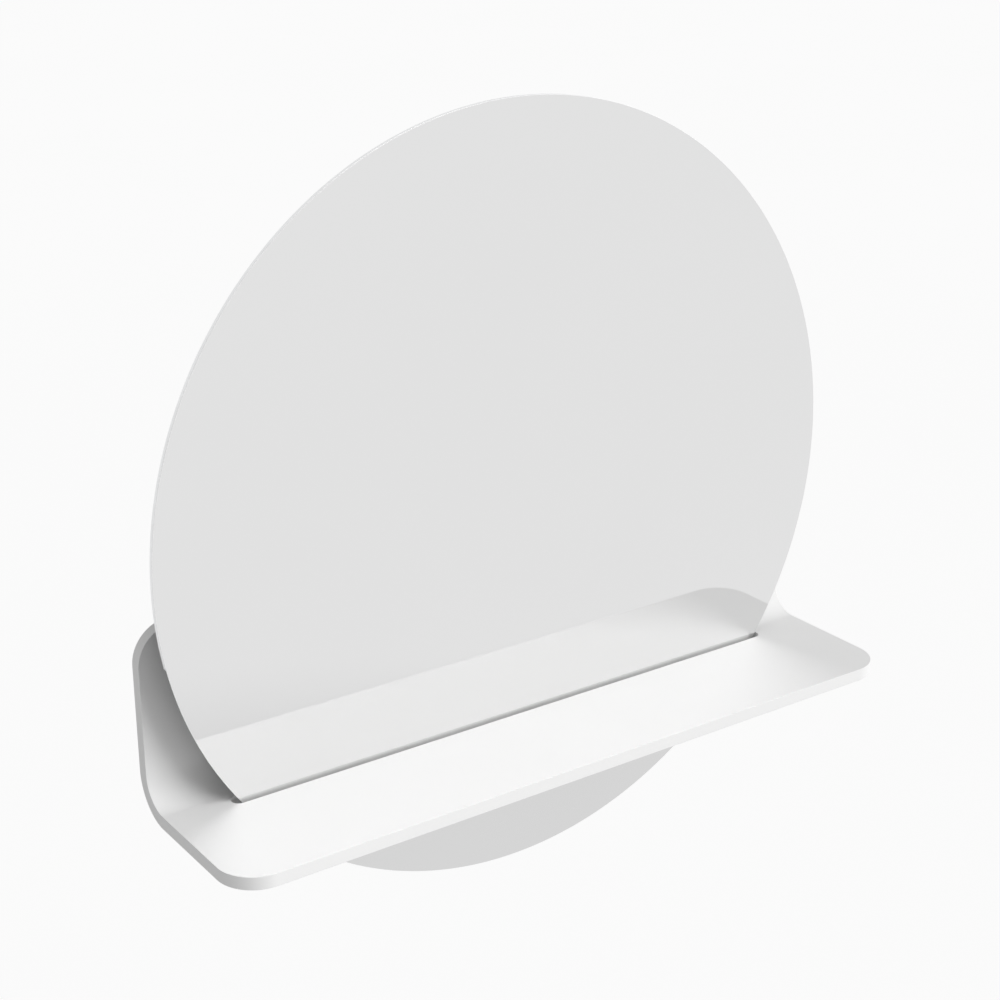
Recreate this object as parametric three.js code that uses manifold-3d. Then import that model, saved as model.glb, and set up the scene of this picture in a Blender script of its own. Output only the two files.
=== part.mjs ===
// A round mirror that stands in the slot of a bent wall shelf.
//
// Millimetres. +Z is up, +X is to the right seen from the room, +Y points into the wall.
// The origin is on the wall plane, in the middle of the shelf's row of fixing holes.
//
// The shelf is one plate, bent to an angle and screwed flat to the wall. The mirror is a
// thin polished disc on a stiff backing panel with a tube frame. It hangs on a pair of
// cleats and reaches down through the slot, so it comes off by lifting it straight up.

import * as THREE from 'three';
import { mergeVertices } from 'three/addons/utils/BufferGeometryUtils.js';
import Module from 'manifold-3d';

const wasm = await Module();
wasm.setup();

// Fit between pieces that touch or are glued.
const FIT = 0.3;

// How far a cutter goes past the face it starts from, and how near two corners are one.
const THROUGH = 1;
const WELD = 1e-4;

// Shelf plate.
const SHELF_WIDTH = 600;
const SHELF_DEPTH = 144;      // wall to front edge
const BACK_HEIGHT = 144;      // underside of the shelf to the top of the back plate
const PLATE = 10;
const BEND_RADIUS = 33;       // outside of the bend
const CORNER_RADIUS = 30;
const SHELF_TOP = -80;        // below the row of fixing holes
const SLOT = { length: 500, width: 12, fromWall: 41 };
const FIXING = { spots: [-200, -70, 70, 200], hole: 6.5, recess: 14, recessDepth: 4 };

// Mirror disc and its backing panel.
const MIRROR_RADIUS = 300;
const MIRROR_FRONT = 43.5;    // wall to the face of the mirror
const MIRROR_RISE = 174;      // shelf top to the centre of the mirror
const DISC = 1;
const PANEL = 3;
const PANEL_CUT = 60;         // centre of the mirror to the panel's straight lower edge
const PANEL_EASE = 2;         // rounding where that edge meets the rim

// Tube frame behind the panel.
const FRAME = { width: 360, height: 200, tube: 20, depth: 25, wall: 1.5, belowCentre: 56 };
const KEY_ARM = 42;
const RIVET = { radius: 2, head: 4, headHeight: 1.4, shank: 8, along: 30 };
const TUBE_HOLE_DEPTH = 4;    // through the tube's back wall and no further
const KEY_HOLE_DEPTH = 12;    // from the back of the frame, so the rivets end inside the keys

// Pair of cleats that carries the mirror.
const CLEAT = { thick: 2, wallStep: 5.4 };
const MIRROR_CLEAT = { length: 280, base: 16, lip: 9, belowFrameTop: 1.5 };
const WALL_CLEAT = { length: 300, base: 24, lip: 10 };
const WALL_SLOT = { spots: [-120, 0, 120], length: 14, width: 5.5, rise: 11 };
const CLEAT_SCREW = { radius: 2, head: 4, headHeight: 2.4, shank: 12, spots: [-110, -40, 40, 110] };

// Shape of rivet and screw heads: how much of the height is domed, and how much of the
// radius stays flat on top.
const HEAD_DOME = 0.6;
const HEAD_FLAT = 0.55;

// Rubber parts.
const BUMPER = { radius: 8, ease: 0.8, spots: [-110, 110], aboveFrameBottom: 8.5 };
const CUSHION = { length: 30, spots: [-150, 150], flange: 2, overlap: 6, below: 2 };

// Heights and depths that follow from the sizes above.
const SHELF_UNDER = SHELF_TOP - PLATE;
const BACK_TOP = SHELF_UNDER + BACK_HEIGHT;
const MIRROR_CENTRE = SHELF_TOP + MIRROR_RISE;
const DISC_BACK = MIRROR_FRONT - DISC;
const PANEL_BACK = DISC_BACK - FIT - PANEL;
const FRAME_FRONT = PANEL_BACK - FIT;
const FRAME_BACK = FRAME_FRONT - FRAME.depth;
const FRAME_BOTTOM = MIRROR_CENTRE - FRAME.belowCentre;
const FRAME_TOP = FRAME_BOTTOM + FRAME.height;
const FRAME_MIDDLE = (FRAME_BOTTOM + FRAME_TOP) / 2;

// The cleats' own places: depths are measured from the wall, heights from the fixing holes.
// The hook rests on the top edge of the wall cleat's lip, with the fit between them.
const HOOK_BASE = FRAME_BACK - FIT - CLEAT.thick / 2;
const HOOK_TOP = FRAME_TOP - MIRROR_CLEAT.belowFrameTop;
const HOOK_SCREWS = HOOK_TOP - MIRROR_CLEAT.base / 2;
const HOOK_STEP_TOP = HOOK_TOP - MIRROR_CLEAT.base;
const WALL_LIP = CLEAT.thick / 2 + CLEAT.wallStep;
const HOOK_LIP = WALL_LIP - CLEAT.thick - FIT;
const HOOK_STEP_END = HOOK_STEP_TOP - (HOOK_BASE - HOOK_LIP);
const WALL_LIP_TOP = HOOK_STEP_END - FIT;
const WALL_STEP_TOP = WALL_LIP_TOP - WALL_CLEAT.lip;
const WALL_STEP_BOTTOM = WALL_STEP_TOP - CLEAT.wallStep;
const WALL_CLEAT_BOTTOM = WALL_STEP_BOTTOM - WALL_CLEAT.base;

const AXIS_X = new THREE.Vector3(1, 0, 0);
const AXIS_Y = new THREE.Vector3(0, 1, 0);
const AXIS_Z = new THREE.Vector3(0, 0, 1);

// Drawing planes: a section is drawn in (y, z) and runs along +X, an elevation is drawn in
// (x, z) and runs from the wall into the room, a plan is drawn in (x, y) and runs upwards.
const SECTION = new THREE.Matrix4().makeBasis(AXIS_Y, AXIS_Z, AXIS_X);
const ELEVATION = new THREE.Matrix4().makeBasis(AXIS_X, AXIS_Z, AXIS_Y.clone().negate());
const PLAN = new THREE.Matrix4();

function extrude(shape, view, from, to, curveSegments = 16) {
  const geometry = new THREE.ExtrudeGeometry(shape, {
    depth: to - from,
    bevelEnabled: false,
    curveSegments,
  });
  return geometry.translate(0, 0, from).applyMatrix4(view);
}

function toSolid(geometry) {
  const bare = geometry.clone();
  bare.deleteAttribute('normal');
  bare.deleteAttribute('uv');
  const merged = mergeVertices(bare, WELD);
  return new wasm.Manifold(new wasm.Mesh({
    numProp: 3,
    vertProperties: new Float32Array(merged.attributes.position.array),
    triVerts: new Uint32Array(merged.index.array),
  }));
}

function toGeometry(solid) {
  const mesh = solid.getMesh();
  const geometry = new THREE.BufferGeometry();
  geometry.setAttribute('position', new THREE.BufferAttribute(mesh.vertProperties, 3));
  geometry.setIndex(new THREE.BufferAttribute(mesh.triVerts, 1));
  geometry.computeVertexNormals();
  return geometry;
}

function cutAway(geometry, cutters) {
  const body = cutters.reduce((rest, cutter) => rest.subtract(toSolid(cutter)), toSolid(geometry));
  return toGeometry(body);
}

// A hole or pin across the wall, its axis along Y.
function roundBar(radius, x, z, nearWall, nearRoom, segments = 24) {
  const bar = new THREE.CylinderGeometry(radius, radius, nearRoom - nearWall, segments);
  return bar.translate(x, -(nearWall + nearRoom) / 2, z);
}

function stadium(length, width) {
  const radius = width / 2;
  const straight = length / 2 - radius;
  const outline = new THREE.Shape();
  outline.moveTo(-straight, -radius);
  outline.lineTo(straight, -radius);
  outline.absarc(straight, 0, radius, -Math.PI / 2, Math.PI / 2);
  outline.lineTo(-straight, radius);
  outline.absarc(-straight, 0, radius, Math.PI / 2, Math.PI * 1.5);
  return outline;
}

function rectangle(left, bottom, right, top) {
  return new THREE.Shape([
    new THREE.Vector2(left, bottom),
    new THREE.Vector2(right, bottom),
    new THREE.Vector2(right, top),
    new THREE.Vector2(left, top),
  ]);
}

function material(color, roughness, metalness = 0) {
  return new THREE.MeshStandardMaterial({ color, roughness, metalness });
}

const part = new THREE.Group();

function add(name, geometry, finish) {
  const mesh = new THREE.Mesh(geometry, finish);
  mesh.name = name;
  part.add(mesh);
  return mesh;
}

const WHITE_MINERAL = material(0xf4f4f3, 0.55);
const POLISHED_STEEL = material(0xe4e6e7, 0.03, 1);
const SHEET_ALUMINIUM = material(0xcdcfd1, 0.32, 1);
const MILL_ALUMINIUM = material(0xb9bcbf, 0.4, 1);
const KEY_GREY = material(0x6d7073, 0.6);
const ZINC_STEEL = material(0xc2c4c2, 0.35, 1);
const SOFT_RUBBER = material(0x9fa1a2, 0.85);

// --- Shelf body -------------------------------------------------------------------------
// The plate's section: up the wall, over the top edge, down to the bend, out to the front.
function shelfSection() {
  const bendY = -BEND_RADIUS;
  const bendZ = SHELF_UNDER + BEND_RADIUS;
  const section = new THREE.Shape();
  section.moveTo(-SHELF_DEPTH, SHELF_UNDER);
  section.lineTo(bendY, SHELF_UNDER);
  section.absarc(bendY, bendZ, BEND_RADIUS, -Math.PI / 2, 0);
  section.lineTo(0, BACK_TOP);
  section.lineTo(-PLATE, BACK_TOP);
  section.lineTo(-PLATE, bendZ);
  section.absarc(bendY, bendZ, BEND_RADIUS - PLATE, 0, -Math.PI / 2, true);
  section.lineTo(-SHELF_DEPTH, SHELF_TOP);
  return section;
}

// What is left outside a rounded corner, for a corner at the origin whose plate lies to the
// left of it and below it.
function cornerWaste(radius) {
  const margin = 5;
  const waste = new THREE.Shape();
  waste.moveTo(0, -radius);
  waste.absarc(-radius, -radius, radius, 0, Math.PI / 2);
  waste.lineTo(-radius, margin);
  waste.lineTo(margin, margin);
  waste.lineTo(margin, -radius);
  return waste;
}

function shelfBody() {
  const half = SHELF_WIDTH / 2;
  const blank = extrude(shelfSection(), SECTION, -half, half, 24);
  const corner = (turn, x, across, view, from, to) => {
    const geometry = extrude(cornerWaste(CORNER_RADIUS), PLAN, from, to);
    return geometry.rotateZ(turn).translate(x, across, 0).applyMatrix4(view);
  };
  const cutters = [
    corner(0, half, BACK_TOP, ELEVATION, -THROUGH, PLATE + THROUGH),
    corner(Math.PI / 2, -half, BACK_TOP, ELEVATION, -THROUGH, PLATE + THROUGH),
    corner(-Math.PI / 2, half, -SHELF_DEPTH, PLAN, SHELF_UNDER - THROUGH, SHELF_TOP + THROUGH),
    corner(Math.PI, -half, -SHELF_DEPTH, PLAN, SHELF_UNDER - THROUGH, SHELF_TOP + THROUGH),
    extrude(stadium(SLOT.length, SLOT.width), PLAN, SHELF_UNDER - THROUGH, SHELF_TOP + THROUGH)
      .translate(0, -SLOT.fromWall, 0),
  ];
  for (const x of FIXING.spots) {
    cutters.push(roundBar(FIXING.hole / 2, x, 0, -THROUGH, PLATE + THROUGH));
    cutters.push(roundBar(FIXING.recess / 2, x, 0, PLATE - FIXING.recessDepth, PLATE + THROUGH));
  }
  return cutAway(blank, cutters);
}

add('shelf_body', shelfBody(), WHITE_MINERAL);

// --- Mirror disc and backing panel --------------------------------------------------------
// The disc is whole. The panel behind it is flush with its rim and stops at a straight edge
// above the shelf, so that only the thin disc goes down through the slot.
const RIM_SEGMENTS = 180;

function mirrorDisc() {
  const disc = new THREE.CylinderGeometry(MIRROR_RADIUS, MIRROR_RADIUS, DISC, RIM_SEGMENTS);
  return disc.translate(0, -(MIRROR_FRONT + DISC_BACK) / 2, MIRROR_CENTRE);
}

function backingOutline() {
  const start = -Math.asin(PANEL_CUT / MIRROR_RADIUS);
  const easeAngle = PANEL_EASE / MIRROR_RADIUS;
  const edgeX = MIRROR_RADIUS * Math.cos(start);
  const outline = new THREE.Shape();
  outline.moveTo(-edgeX + PANEL_EASE, -PANEL_CUT);
  outline.lineTo(edgeX - PANEL_EASE, -PANEL_CUT);
  outline.absarc(0, 0, MIRROR_RADIUS, start + easeAngle, Math.PI - start - easeAngle);
  return outline;
}

add('mirror_disc', mirrorDisc(), POLISHED_STEEL);
add(
  'backing_panel',
  extrude(backingOutline(), ELEVATION, PANEL_BACK, PANEL_BACK + PANEL, RIM_SEGMENTS / 2)
    .translate(0, 0, MIRROR_CENTRE),
  SHEET_ALUMINIUM,
);

// --- Tube frame -------------------------------------------------------------------------
// Four lengths of rectangular tube, mitred and joined by keys pushed into their ends. Each
// length is drawn as the top one, with its outer edge up, and turned to its side.
const SIDES = [
  { name: 'frame_top_rail', span: FRAME.width, reach: FRAME.height / 2, turn: 0 },
  { name: 'frame_right_stile', span: FRAME.height, reach: FRAME.width / 2, turn: Math.PI / 2 },
  { name: 'frame_bottom_rail', span: FRAME.width, reach: FRAME.height / 2, turn: Math.PI },
  { name: 'frame_left_stile', span: FRAME.height, reach: FRAME.width / 2, turn: -Math.PI / 2 },
];

function mitredTube(span) {
  const outer = rectangle(-FRAME_FRONT, -FRAME.tube, -FRAME_BACK, 0);
  const inside = rectangle(
    -FRAME_FRONT + FRAME.wall,
    -FRAME.tube + FRAME.wall,
    -FRAME_BACK - FRAME.wall,
    -FRAME.wall,
  );
  outer.holes.push(inside);
  const half = (span - FIT) / 2;
  const tube = extrude(outer, SECTION, -half, half);
  const position = tube.attributes.position;
  for (let i = 0; i < position.count; i += 1) {
    const x = position.getX(i);
    position.setX(i, x + Math.sign(x) * position.getZ(i));
  }
  tube.computeVertexNormals();
  return tube;
}

// Where the rivets of one side sit, along that side from its middle.
const rivetSpots = (span) => [-1, 1].map((end) => end * (span / 2 - RIVET.along));

function frameSide({ name, span, reach, turn }) {
  const drill = (radius, x, z) => (
    roundBar(radius + FIT, x, z, FRAME_BACK - THROUGH, FRAME_BACK + TUBE_HOLE_DEPTH)
  );
  const holes = rivetSpots(span).map((x) => drill(RIVET.radius, x, -FRAME.tube / 2));
  if (name === 'frame_top_rail') {
    const screwZ = HOOK_SCREWS - FRAME_TOP;
    holes.push(...CLEAT_SCREW.spots.map((x) => drill(CLEAT_SCREW.radius, x, screwZ)));
  }
  return cutAway(mitredTube(span), holes)
    .translate(0, 0, reach)
    .rotateY(turn)
    .translate(0, 0, FRAME_MIDDLE);
}

// A key is an angle that fills the tube at a corner, drawn for the upper right one.
function cornerKey(sideX, sideZ) {
  const inset = FRAME.wall + FIT;
  const arm = FRAME.tube - 2 * inset;
  const key = new THREE.Shape([
    new THREE.Vector2(0, 0),
    new THREE.Vector2(-KEY_ARM, 0),
    new THREE.Vector2(-KEY_ARM, -arm),
    new THREE.Vector2(-arm, -arm),
    new THREE.Vector2(-arm, -KEY_ARM),
    new THREE.Vector2(0, -KEY_ARM),
  ]);
  const cornerX = FRAME.width / 2 - inset;
  const cornerZ = FRAME.height / 2 - inset;
  const turn = Math.atan2(-sideZ, sideX) + Math.PI / 4;
  const spanX = sideX * sideZ > 0 ? cornerX : cornerZ;
  const spanZ = sideX * sideZ > 0 ? cornerZ : cornerX;
  const body = extrude(key, ELEVATION, FRAME_BACK + inset, FRAME_FRONT - inset)
    .translate(spanX, 0, spanZ)
    .rotateY(turn)
    .translate(0, 0, FRAME_MIDDLE);
  const centreX = sideX * (FRAME.width / 2 - FRAME.tube / 2);
  const centreZ = FRAME_MIDDLE + sideZ * (FRAME.height / 2 - FRAME.tube / 2);
  const alongX = sideX * (FRAME.width / 2 - RIVET.along);
  const alongZ = FRAME_MIDDLE + sideZ * (FRAME.height / 2 - RIVET.along);
  const spots = [[alongX, centreZ], [centreX, alongZ]];
  const holes = spots.map(([x, z]) => (
    roundBar(RIVET.radius + FIT, x, z, FRAME_BACK, FRAME_BACK + KEY_HOLE_DEPTH)
  ));
  return { body: cutAway(body, holes), spots };
}

// A fastener driven from the wall side: its shank runs into the room, its head stays out.
function fastener({ radius, head, headHeight, shank }, x, seat, z) {
  const profile = [
    new THREE.Vector2(0, headHeight),
    new THREE.Vector2(head * HEAD_FLAT, headHeight),
    new THREE.Vector2(head, headHeight * (1 - HEAD_DOME)),
    new THREE.Vector2(head, 0),
    new THREE.Vector2(radius, 0),
    new THREE.Vector2(radius, -shank + radius),
    new THREE.Vector2(0, -shank),
  ];
  return new THREE.LatheGeometry(profile.reverse(), 16).translate(x, -seat, z);
}

// --- Cleats -----------------------------------------------------------------------------
// Both are strips with a 45 degree step: a base that is screwed on and a lip that stands off
// it. The wall cleat's lip points up, and the mirror cleat's lip hooks down behind it.
function strip(path, thick) {
  const half = thick / 2;
  const side = (sign) => path.map((point, i) => {
    const before = path[Math.max(i - 1, 0)];
    const after = path[Math.min(i + 1, path.length - 1)];
    const into = i === 0 ? after.clone().sub(point) : point.clone().sub(before);
    const out = i === path.length - 1 ? into.clone() : after.clone().sub(point);
    into.normalize();
    out.normalize();
    const mitre = into.clone().add(out).normalize();
    const normal = new THREE.Vector2(-mitre.y, mitre.x);
    const stretch = half / mitre.dot(into);
    return point.clone().addScaledVector(normal, sign * stretch);
  });
  return new THREE.Shape([...side(-1), ...side(1).reverse()]);
}

function mirrorCleat() {
  const path = [
    new THREE.Vector2(-HOOK_BASE, HOOK_TOP),
    new THREE.Vector2(-HOOK_BASE, HOOK_STEP_TOP),
    new THREE.Vector2(-HOOK_LIP, HOOK_STEP_END),
    new THREE.Vector2(-HOOK_LIP, HOOK_STEP_END - MIRROR_CLEAT.lip),
  ];
  const half = MIRROR_CLEAT.length / 2;
  const holes = CLEAT_SCREW.spots.map((x) => roundBar(
    CLEAT_SCREW.radius + FIT,
    x,
    HOOK_SCREWS,
    HOOK_BASE - 2 * CLEAT.thick,
    HOOK_BASE + 2 * CLEAT.thick,
  ));
  return cutAway(extrude(strip(path, CLEAT.thick), SECTION, -half, half), holes);
}

function wallCleat() {
  const path = [
    new THREE.Vector2(-CLEAT.thick / 2, WALL_CLEAT_BOTTOM),
    new THREE.Vector2(-CLEAT.thick / 2, WALL_STEP_BOTTOM),
    new THREE.Vector2(-WALL_LIP, WALL_STEP_TOP),
    new THREE.Vector2(-WALL_LIP, WALL_LIP_TOP),
  ];
  const half = WALL_CLEAT.length / 2;
  const slot = stadium(WALL_SLOT.length, WALL_SLOT.width);
  const slots = WALL_SLOT.spots.map((x) => (
    extrude(slot, ELEVATION, -THROUGH, CLEAT.thick + THROUGH)
      .translate(x, 0, WALL_CLEAT_BOTTOM + WALL_SLOT.rise)
  ));
  return cutAway(extrude(strip(path, CLEAT.thick), SECTION, -half, half), slots);
}

SIDES.forEach((side) => add(side.name, frameSide(side), MILL_ALUMINIUM));

[['upper', 1], ['lower', -1]].forEach(([level, sideZ]) => {
  [['left', -1], ['right', 1]].forEach(([hand, sideX]) => {
    const key = cornerKey(sideX, sideZ);
    add(`corner_key_${level}_${hand}`, key.body, KEY_GREY);
    key.spots.forEach(([x, z], arm) => {
      const rivet = fastener(RIVET, x, FRAME_BACK - FIT, z);
      add(`rivet_${level}_${hand}_${arm + 1}`, rivet, MILL_ALUMINIUM);
    });
  });
});

add('mirror_cleat', mirrorCleat(), MILL_ALUMINIUM);
add('wall_cleat', wallCleat(), MILL_ALUMINIUM);

CLEAT_SCREW.spots.forEach((x, i) => {
  const screw = fastener(CLEAT_SCREW, x, HOOK_BASE - CLEAT.thick / 2 - FIT, HOOK_SCREWS);
  add(`cleat_screw_${i + 1}`, screw, ZINC_STEEL);
});

// --- Rubber parts -----------------------------------------------------------------------
// Two bumpers under the frame keep the mirror parallel to the wall: they lean on the top of
// the back plate. Two cushions in the slot keep the thin disc off the plate's edges.
function bumper(x) {
  const near = PLATE + FIT;
  const far = FRAME_BACK - FIT;
  const profile = [
    new THREE.Vector2(0, -far),
    new THREE.Vector2(BUMPER.radius, -far),
    new THREE.Vector2(BUMPER.radius, -near - BUMPER.ease),
    new THREE.Vector2(BUMPER.radius - BUMPER.ease, -near),
    new THREE.Vector2(0, -near),
  ];
  const height = FRAME_BOTTOM + BUMPER.aboveFrameBottom;
  return new THREE.LatheGeometry(profile, 32).translate(x, 0, height);
}

function slotCushion(x) {
  const slotBack = SLOT.fromWall - SLOT.width / 2;
  const front = -(DISC_BACK - FIT);
  const back = -(slotBack + FIT);
  const seat = SHELF_TOP + FIT;
  const section = new THREE.Shape([
    new THREE.Vector2(front, SHELF_UNDER - CUSHION.below),
    new THREE.Vector2(back, SHELF_UNDER - CUSHION.below),
    new THREE.Vector2(back, seat),
    new THREE.Vector2(back + CUSHION.overlap, seat),
    new THREE.Vector2(back + CUSHION.overlap, seat + CUSHION.flange),
    new THREE.Vector2(front, seat + CUSHION.flange),
  ]);
  return extrude(section, SECTION, x - CUSHION.length / 2, x + CUSHION.length / 2);
}

['left', 'right'].forEach((hand, i) => {
  add(`bumper_${hand}`, bumper(BUMPER.spots[i]), SOFT_RUBBER);
  add(`slot_cushion_${hand}`, slotCushion(CUSHION.spots[i]), SOFT_RUBBER);
});

export default part;
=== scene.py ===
"""A round mirror standing in the slot of a bent white wall shelf, dressed for a studio picture.

Metres. +Z is up, +X is to the right seen from the room, +Y points into the wall, and the origin
is on the wall in the middle of the shelf's row of fixing holes.
"""

import math

import bmesh
import bpy
from mathutils import Matrix, Vector, geometry


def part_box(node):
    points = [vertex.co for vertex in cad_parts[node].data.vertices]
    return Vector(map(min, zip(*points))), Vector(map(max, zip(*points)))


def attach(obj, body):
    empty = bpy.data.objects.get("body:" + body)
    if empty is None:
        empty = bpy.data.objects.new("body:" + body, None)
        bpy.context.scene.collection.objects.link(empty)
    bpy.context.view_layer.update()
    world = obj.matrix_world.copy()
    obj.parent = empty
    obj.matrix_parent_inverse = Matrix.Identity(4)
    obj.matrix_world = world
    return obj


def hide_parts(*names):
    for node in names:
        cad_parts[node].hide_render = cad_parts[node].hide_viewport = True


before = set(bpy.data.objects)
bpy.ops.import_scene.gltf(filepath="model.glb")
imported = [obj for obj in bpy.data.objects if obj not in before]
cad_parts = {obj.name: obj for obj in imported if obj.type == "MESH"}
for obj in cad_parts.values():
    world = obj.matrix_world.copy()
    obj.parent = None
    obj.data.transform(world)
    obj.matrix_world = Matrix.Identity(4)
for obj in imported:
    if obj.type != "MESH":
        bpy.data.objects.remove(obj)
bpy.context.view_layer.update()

scene = bpy.context.scene
scene.view_settings.view_transform = "Standard"

# --- Camera -------------------------------------------------------------------------------
# The eye stands to the left of the shelf and a little above it, and looks down on it with a
# long lens, as the picture was taken.
EYE = Vector((-0.7893, -1.1335, 0.5996))
EYE_TURN = math.radians(35.27)
EYE_DROP = math.radians(20.55)
EYE_LENS = 69.24

lens = bpy.data.cameras.new("eye")
lens.sensor_width = 36
lens.lens = EYE_LENS
lens.clip_start = 0.05
lens.clip_end = 400
eye = bpy.data.objects.new("eye", lens)
eye.location = EYE
eye.rotation_euler = (math.pi / 2 - EYE_DROP, 0, -EYE_TURN)
scene.collection.objects.link(eye)
scene.camera = eye


# --- Shelf plate --------------------------------------------------------------------------
# One 10 mm plate of white mineral sheet. The blank is sawn to its outline, the slot and the
# recessed fixing holes are routed, the edges are eased, and then it is heated and folded to
# an angle over a round former.
PLATE = 0.010
SHELF_TOP = -0.080
SHELF_WIDTH = 0.600
SHELF_REACH = 0.111          # straight part from the front edge to the bend, and up the wall
SHELF_CORNER = 0.030
CORNER_STEPS = 24
SHELF_EASE = 0.0004
BEND_MIDDLE = 0.028          # radius of the bend at the middle of the plate
BEND_STEPS = 28
BEND_LENGTH = BEND_MIDDLE * math.pi / 2
PLATE_LEVEL = SHELF_TOP - PLATE / 2
PLATE_FRONT = -(SHELF_REACH + BEND_MIDDLE + PLATE / 2)
SLOT_LENGTH = 0.500
SLOT_WIDTH = 0.012
SLOT_FROM_FRONT = 0.103
SLOT_EASE = 0.0006
SLOT_SHADE_TOP = 0.0010          # painted shade on the slot's walls starts to deepen below this depth
SLOT_SHADE_DEEPEST = 0.0035          # and is darkest below this one
FIXING_SPOTS = (-0.200, -0.070, 0.070, 0.200)
FIXING_ROW = SHELF_REACH + BEND_LENGTH - PLATE_LEVEL - BEND_MIDDLE
FIXING_RECESS = 0.007        # radius, and depth below
FIXING_DEPTH = 0.004
FIXING_STEP = 0.00375        # from the recess wall to the hole
FIXING_EASE = 0.0003
ON_THE_WALL = 0.9            # a row of an edge that faces out more than this is on its wall


def arc(centre, radius, start, end, steps, hollow=False):
    """Points along an arc of a cut line, each with the way that leads out of the sheet."""
    points = []
    for i in range(steps + 1):
        turn = math.radians(start + (end - start) * i / steps)
        way = Vector((math.cos(turn), math.sin(turn)))
        points.append((centre + way * radius, -way if hollow else way))
    return points


def edge_section(corners, ease, steps=3):
    """Rounds the corners of an edge's section, drawn as (out of the sheet, into its depth).
    Each row is a place, the way it faces, and how far it is on a rounding."""
    rows = []
    corners = [Vector(corner) for corner in corners]
    for before, corner, after in zip(corners, corners[1:], corners[2:]):
        back, on = (before - corner).normalized(), (after - corner).normalized()
        half = back.angle(on) / 2
        middle = corner + (back + on).normalized() * ease / math.sin(half)
        first = (corner + back * ease / math.tan(half) - middle).normalized()
        last = (corner + on * ease / math.tan(half) - middle).normalized()
        proud = back.x * on.y - back.y * on.x < 0
        for i in range(steps + 1):
            spoke = first.slerp(last, i / steps)
            facing = spoke if proud else -spoke
            rows.append((middle + spoke * ease, facing, math.sin(math.pi * i / steps)))
    return rows


def plain_section(thickness, ease):
    """The section of a sheet's square edge, eased on both sides."""
    return edge_section([(-1, 0), (0, 0), (0, thickness), (-1, thickness)], ease)


def folded(start, heading, runs):
    """The middle line of a folded sheet in the (y, z) plane, as a function of the length along
    the blank. Each run is (length, turn), and a run with a turn is a round bend."""
    pieces = []
    at, facing, done = Vector(start), math.radians(heading), 0.0
    for length, turn in runs:
        turn = math.radians(turn)
        pieces.append((done, at.copy(), facing, length, turn))
        if turn:
            chord = 2 * length / turn * math.sin(turn / 2)
            at += Vector((math.cos(facing + turn / 2), math.sin(facing + turn / 2))) * chord
        else:
            at += Vector((math.cos(facing), math.sin(facing))) * length
        facing += turn
        done += length

    def place(along):
        done, at, facing, length, turn = [p for p in pieces if p[0] <= max(along, 0)][-1]
        if not turn:
            return at + Vector((math.cos(facing), math.sin(facing))) * (along - done), facing
        bent = turn * (along - done) / length
        chord = 2 * length / turn * math.sin(bent / 2)
        way = Vector((math.cos(facing + bent / 2), math.sin(facing + bent / 2)))
        return at + way * chord, facing + bent

    return place


def within(point, ring):
    """True if a point lies inside a closed ring of points."""
    odd = False
    for a, b in zip(ring, ring[1:] + ring[:1]):
        if (a.y > point.y) != (b.y > point.y):
            if point.x < a.x + (point.y - a.y) / (b.y - a.y) * (b.x - a.x):
                odd = not odd
    return odd


def cut_sheet(name, thickness, path, cuts, bend_lines=()):
    """A sheet sawn to its first cut line and routed along the others, eased at every edge and
    folded along its path. A cut is (line, section). Bend lines join points of the outline."""
    body = bmesh.new()
    ways, softness, routed, flat = [], [], [], []
    edges_of = []
    for line, section in cuts:
        rows = []
        for (out, depth), (facing_out, facing_in), soft in section:
            row = []
            for point, away in line:
                blank = point + away * out
                (y, z), heading = path(blank.y)
                ahead = Vector((0, math.cos(heading), math.sin(heading)))
                above = Vector((0, -math.sin(heading), math.cos(heading)))
                corner = Vector((blank.x, y, z)) + above * (thickness / 2 - depth)
                row.append(body.verts.new(corner))
                way = Vector((away.x * facing_out, 0, 0)) + ahead * (away.y * facing_out)
                ways.append(way - above * facing_in)
                softness.append(soft)
                routed.append(float(bool(edges_of) and facing_out > ON_THE_WALL))
                flat.append(Vector((blank.x + away.x * depth, blank.y + away.y * depth)))
            rows.append(row)
        edges_of.append(rows)
        for row, following in zip(rows, rows[1:]):
            for i in range(len(row)):
                j = (i + 1) % len(row)
                body.faces.new((row[i], row[j], following[j], following[i]))
    body.verts.index_update()

    inside_only, closeness = 1, 1e-7
    for level in (0, -1):
        points, joins, owners, rings = [], [], [], []
        for (line, section), rows in zip(cuts, edges_of):
            first, count = len(points), len(line)
            out = section[level][0].x
            ring = [point + away * out for point, away in line]
            points += ring
            owners += rows[level]
            rings.append(ring)
            joins += [(first + i, first + (i + 1) % count) for i in range(count)]
        joins += bend_lines
        found, _, faces, origin, _, _ = geometry.delaunay_2d_cdt(
            points, joins, [], inside_only, closeness)
        for face in faces:
            middle = sum((found[i] for i in face), Vector((0, 0))) / len(face)
            if not any(within(middle, ring) for ring in rings[1:]):
                body.faces.new([owners[origin[i][0]] for i in face])

    bmesh.ops.recalc_face_normals(body, faces=body.faces)
    uv = body.loops.layers.uv.new("along")
    for face in body.faces:
        face.smooth = True
        for corner in face.loops:
            corner[uv].uv = flat[corner.vert.index]
    mesh = bpy.data.meshes.new(name)
    body.to_mesh(mesh)
    body.free()
    mesh.normals_split_custom_set_from_vertices([way.normalized() for way in ways])
    for label, values in (("eased_edge", softness), ("routed_wall", routed)):
        mesh.attributes.new(label, "FLOAT", "POINT").data.foreach_set("value", values)
    piece = bpy.data.objects.new(name, mesh)
    scene.collection.objects.link(piece)
    return piece


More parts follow.
